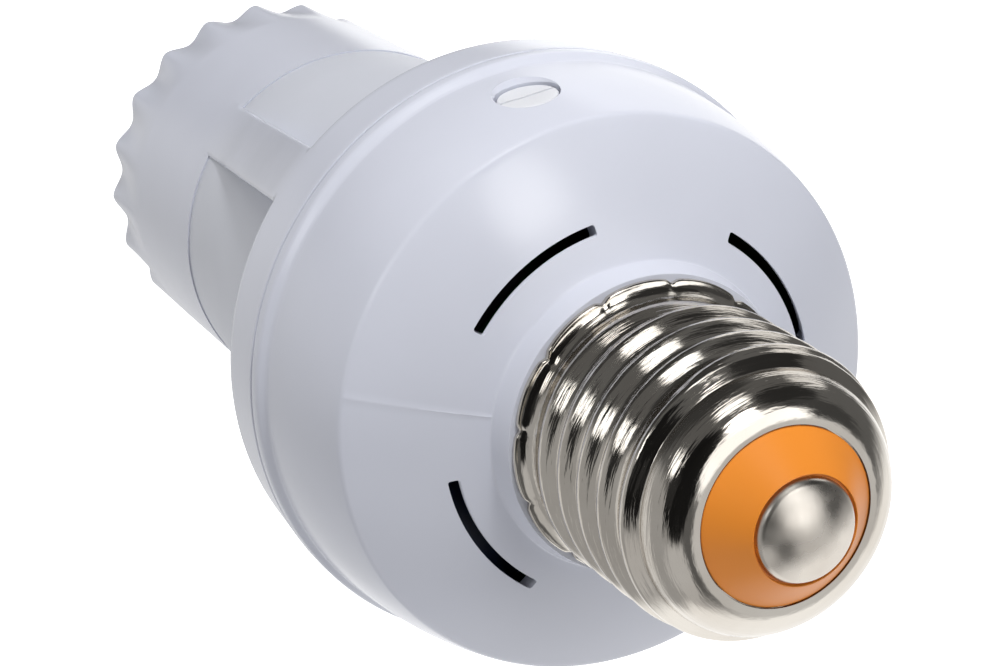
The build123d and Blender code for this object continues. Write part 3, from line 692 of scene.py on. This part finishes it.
def makeCapTip():
    s = capTip
    contactBase = insulatorTop - s["sink"]
    bm = bmesh.new()
    outer = capShell["lip"] - s["play"]
    inner, stemHole = outer - s["step"], s["stem"] + s["stemPlay"]
    first = startLine(bm, stemHole, insulatorLow)
    line = first
    corners = []
    for r, z in ((inner, insulatorLow), (inner, crownTop - s["step"]), (outer, crownTop - s["step"]),
                 (outer, crownTop - s["seatDrop"]), (contactRadius + s["ringPlay"], insulatorTop),
                 (contactRadius + s["wellPlay"], contactBase), (stemHole, contactBase)):
        line = lineTo(bm, line, r, z)
        corners.append(line)
    bm.edges.new((line, first))
    corners = placesOf(*corners)
    cutSpan(bm, corners[3], corners[4], s["coneRows"])
    roundCorner(bm, corners[4], s["ringRound"], 4)
    turnRound(bm, s["columns"])
    cone = setDown(bm, "capInsulator", insulatorOrange)
    standFor(cone, "housing", "insulator_orange", "cap_insulator")

    bm = bmesh.new()
    first = startLine(bm, 0, contactLow)
    line = lineTo(bm, first, s["stem"], contactLow)
    line = lineTo(bm, line, s["stem"], contactBase)
    line = lineTo(bm, line, contactRadius, contactBase)
    edge = lineTo(bm, line, contactRadius, contactBase + s["side"])
    rise = contactTop - contactBase - s["side"]
    dome = (contactRadius ** 2 + rise ** 2) / (2 * rise)
    arcTo(bm, edge, 0, contactTop - dome, -math.degrees(math.asin(contactRadius / dome)), s["domeSteps"])
    roundCorner(bm, *placesOf(edge), s["edgeRound"])
    turnRound(bm, s["columns"])
    contact = setDown(bm, "capContact", contactNickel)
    standFor(contact, "housing", "cap_nickel", "cap_contact")


makeCapTip()
print("cap done")

# dial: round insert in the shoulder with a fine line across its face
dial = {"radius": 2.8, "head": 2.7, "shaft": 1.4, "shaftLength": 4.5, "faceRadius": 27.0, "edge": 0.25,
        "lineWidth": 0.36, "lineDepth": 0.28, "lineReach": 2.4, "dish": 0.05, "dishShare": 0.6, "columns": 64}


def makeDial():
    s = dial
    bm = bmesh.new()
    shaftEnd = -s["head"] - s["shaftLength"]
    line = startLine(bm, 0, shaftEnd)
    for r, z in ((s["shaft"], shaftEnd), (s["shaft"], -s["head"]), (s["radius"], -s["head"]), (s["radius"], 0)):
        line = lineTo(bm, line, r, z)
    edge = line
    lineTo(bm, lineTo(bm, line, s["dishShare"] * s["radius"], 0), 0, -s["dish"])
    roundCorner(bm, *placesOf(edge), s["edge"])
    turnRound(bm, s["columns"])
    insert = setDown(bm, "adjusterDial", knobWhite)
    bm = bmesh.new()
    bmesh.ops.create_cube(bm, size=1)
    bmesh.ops.scale(bm, verts=bm.verts[:],
                    vec=(s["lineWidth"] * mm, s["lineReach"] * s["radius"] * mm, 2 * s["lineDepth"] * mm))
    cutAway(insert, setDown(bm, "lineCutter", None))
    bm = bmesh.new()
    bm.from_mesh(insert.data)
    onDial(bm, s["faceRadius"], rearLow + dialHole["rise"])
    bm.to_mesh(insert.data)
    bm.free()
    standFor(insert, "adjuster", "knob_white", "adjuster_knob")


makeDial()
print("dial done")

# lamp socket: brass shell with a rolled thread inside
shellRadius, shellLow, shellTop = reach("socket_shell")
lampShell = {"wall": 0.55, "ridge": 1.05, "pitch": 3.629, "flange": 0.6, "flangeBore": 9.5, "lead": 1.5,
             "skinPlay": 0.05, "rows": 150, "columns": 180}


def makeLampShell():
    s = lampShell
    bore = shellRadius - s["wall"]
    bm = bmesh.new()
    first = startLine(bm, bore, shellLow)
    line = lineTo(bm, first, shellRadius, shellLow)
    flangeLow = shellTop - s["flange"]
    for r, z in ((shellRadius, shellTop), (s["flangeBore"], shellTop), (s["flangeBore"], flangeLow),
                 (bore, flangeLow)):
        line = lineTo(bm, line, r, z)
    bm.edges.new((line, first))
    cutSpan(bm, *placesOf(line, first), s["rows"])
    turnRound(bm, s["columns"])
    low = shellLow + s["lead"]
    for v in bm.verts:
        r, z = ringOf(v.co)
        if abs(r - bore) > s["skinPlay"] or z > flangeLow - s["skinPlay"]:
            continue
        angle = math.atan2(v.co.y, v.co.x)
        wave = 0.5 + 0.5 * math.cos(2 * math.pi * ((z - low) / s["pitch"] - angle / (2 * math.pi)))
        r -= s["ridge"] * wave * ease((z - shellLow) / s["lead"]) * ease((flangeLow - z) / s["lead"])
        moveTo(v, r, angle)
    shell = setDown(bm, "lampShell", socketBrass, 50)
    standFor(shell, "housing", "socket_brass", "socket_shell")


makeLampShell()
print("lamp socket done")

# what stays from CAD takes its finish here
kept = {
    "socket_body": socketCore, "centre_terminal": socketBrass, "shell_rivet": socketBrass,
    "socket_screws": screwSteel, "contact_tongue": springBronze, "circuit_board": boardGreen,
    "board_screws": screwSteel, "pir_sensor_1": sensorCan, "pir_sensor_2": sensorCan, "pir_sensor_3": sensorCan,
    "daylight_sensor": sensorClay, "relay": relayBlue, "film_capacitor": filmRed,
    "bridge_rectifier": componentBlack, "controller_chip": componentBlack,
    "electrolytic_capacitor": sleeveNavy, "trimmer_body": trimmerBlue, "live_lead_in": leadRed,
    "neutral_lead_in": leadBlack, "live_lead_out": leadRed, "neutral_lead_out": leadBlack,
}
for node, finish in kept.items():
    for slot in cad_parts[node].material_slots:
        slot.material = finish
print("kept nodes painted:", len(kept))

# floor, light and camera
studio = {
    "floorSize": 4.0,  # metres
    "floorDrop": 0.05, "floorShade": 0.8, "floorRough": 0.9, "floorGlow": 1.0, "centre": (0, 0, 60),
    # azimuth, elevation, distance and size in metres, light thrown on the object, whether the nickel mirrors it
    "lights": {
        "sideLight": (-138, 21, 0.36, 0.06, 1.78, False),
        "frontLight": (-90, 12, 0.60, 0.16, 0.25, False),
        "upperLight": (-142, 56, 0.60, 0.20, 0.36, True),
        "mouthLight": (-120, -25, 0.28, 0.10, 0.32, False),
        "fillLight": (0, 15, 0.60, 0.36, 0.58, False),
    },
    "roomShade": 0.13, "roomDimming": 0.25, "backdrop": 0.95,
    # azimuth, elevation, half width, soft edge, shade, each over the ones before
    "roomCards": (
        (70, -12, 40, 24, 1.2), (-20, -18, 40, 12, 0.42), (-10, -56, 24, 16, 0.85), (8, 34, 18, 10, 0.6),
        (88, 52, 14, 8, 0.7), (125, -50, 14, 8, 1.3), (-118, -38, 26, 10, 0.05), (168, -45, 13, 4, 1.2),
        (172, -14, 9, 5, 1.0), (-172, 24, 18, 6, 0.03), (150, 44, 16, 8, 0.06), (-62, 52, 32, 6, 0.01),
        (-58, 26, 11, 4, 0.03), (-132, 15, 12, 3, 2.2), (-77, 13, 8, 3, 2.2), (150, 74, 18, 5, 1.7),
        (-155, 64, 9, 3, 2.0),
    ),
}


def wayTo(azimuth, elevation):
    a, e = math.radians(azimuth), math.radians(elevation)
    return Vector((math.cos(e) * math.cos(a), math.cos(e) * math.sin(a), math.sin(e)))


def makeFloor():
    s = studio
    bm = bmesh.new()
    bmesh.ops.create_grid(bm, x_segments=8, y_segments=8, size=s["floorSize"] / 2)
    bmesh.ops.translate(bm, vec=(0, 0, -s["floorDrop"] * mm), verts=bm.verts[:])
    floorFinish, nodes, links, shader = newFinish("floorPale")
    shader.inputs["Base Color"].default_value = (s["floorShade"], s["floorShade"], s["floorShade"], 1)
    shader.inputs["Roughness"].default_value = s["floorRough"]
    shader.inputs["Emission Color"].default_value = (1, 1, 1, 1)
    shader.inputs["Emission Strength"].default_value = s["floorGlow"]
    side = nodes.new("ShaderNodeNewGeometry")  # seen from below, the floor is clear
    clear = nodes.new("ShaderNodeBsdfTransparent")
    both = nodes.new("ShaderNodeMixShader")
    links.new(side.outputs["Backfacing"], both.inputs[0])
    links.new(shader.outputs["BSDF"], both.inputs[1])
    links.new(clear.outputs["BSDF"], both.inputs[2])
    links.new(both.outputs["Shader"], nodes["Material Output"].inputs["Surface"])
    floor = setDown(bm, "floor", floorFinish)
    floor.visible_diffuse = floor.visible_glossy = floor.visible_shadow = False  # pale, but lights nothing


def makeLights():
    s = studio
    centre = Vector(s["centre"]) * mm
    for name, (azimuth, elevation, distance, size, thrown, mirrored) in s["lights"].items():
        lamp = bpy.data.lights.new(name, "AREA")
        lamp.shape = "DISK"
        lamp.size = size
        lamp.energy = thrown * math.pi * distance ** 2  # as bright on the object from any distance
        light = bpy.data.objects.new(name, lamp)
        light.location = centre + wayTo(azimuth, elevation) * distance
        light.rotation_euler = (-wayTo(azimuth, elevation)).to_track_quat("-Z", "Y").to_euler()
        light.visible_glossy = mirrored
        bpy.context.scene.collection.objects.link(light)


# room: pale and dark cards that show in the nickel
def makeRoom():
    s = studio
    world = bpy.data.worlds.new("studioRoom")
    world.use_nodes = True
    bpy.context.scene.world = world
    nodes, links = world.node_tree.nodes, world.node_tree.links
    way = nodes.new("ShaderNodeTexCoord")
    shade = None
    for azimuth, elevation, half, soft, tone in s["roomCards"]:
        side = nodes.new("ShaderNodeVectorMath")
        side.operation = "DOT_PRODUCT"
        side.inputs[1].default_value = wayTo(azimuth, elevation)
        edge = nodes.new("ShaderNodeMapRange")
        edge.interpolation_type = "SMOOTHSTEP"
        edge.inputs["From Min"].default_value = math.cos(math.radians(half + soft))
        edge.inputs["From Max"].default_value = math.cos(math.radians(half))
        card = nodes.new("ShaderNodeMix")
        card.data_type = "FLOAT"
        card.inputs[2].default_value = s["roomShade"]
        card.inputs[3].default_value = tone
        links.new(way.outputs["Generated"], side.inputs[0])
        links.new(side.outputs["Value"], edge.inputs["Value"])
        links.new(edge.outputs["Result"], card.inputs[0])
        if shade:
            links.new(shade, card.inputs[2])
        shade = card.outputs[0]
    ray = nodes.new("ShaderNodeLightPath")
    backdrop = nodes.new("ShaderNodeMix")  # the cards show in the nickel, not behind the object
    backdrop.data_type = "FLOAT"
    backdrop.inputs[3].default_value = s["backdrop"]
    links.new(ray.outputs["Is Camera Ray"], backdrop.inputs[0])
    links.new(shade, backdrop.inputs[2])
    links.new(backdrop.outputs[0], nodes["Background"].inputs["Color"])
    dimmer = nodes.new("ShaderNodeMath")  # and they throw a little less light than they show
    dimmer.operation = "MULTIPLY_ADD"
    dimmer.inputs[1].default_value = -s["roomDimming"]
    dimmer.inputs[2].default_value = 1.0
    links.new(ray.outputs["Is Diffuse Ray"], dimmer.inputs[0])
    links.new(dimmer.outputs["Value"], nodes["Background"].inputs["Strength"])
    bpy.context.scene.view_settings.view_transform = "Standard"  # plain photographic whites


# where the photo was taken from
photoView = {"place": (2.935, -168.125, 335.792), "aim": (0.839, 0.017, 60.6), "roll": 124.51, "lens": 122.43}


def makeCamera():
    v = photoView
    lens = bpy.data.cameras.new("photoCamera")
    lens.lens = v["lens"]
    lens.clip_start = 0.01
    camera = bpy.data.objects.new("photoCamera", lens)
    place = Vector(v["place"]) * mm
    look = (Vector(v["aim"]) * mm - place).to_track_quat("-Z", "Y").to_matrix().to_4x4()
    camera.matrix_world = Matrix.Translation(place) @ look @ Matrix.Rotation(math.radians(v["roll"]), 4, "Z")
    bpy.context.scene.collection.objects.link(camera)
    bpy.context.scene.camera = camera


makeFloor()
makeLights()
makeRoom()
makeCamera()
print("studio and camera set")

bpy.context.view_layer.update()
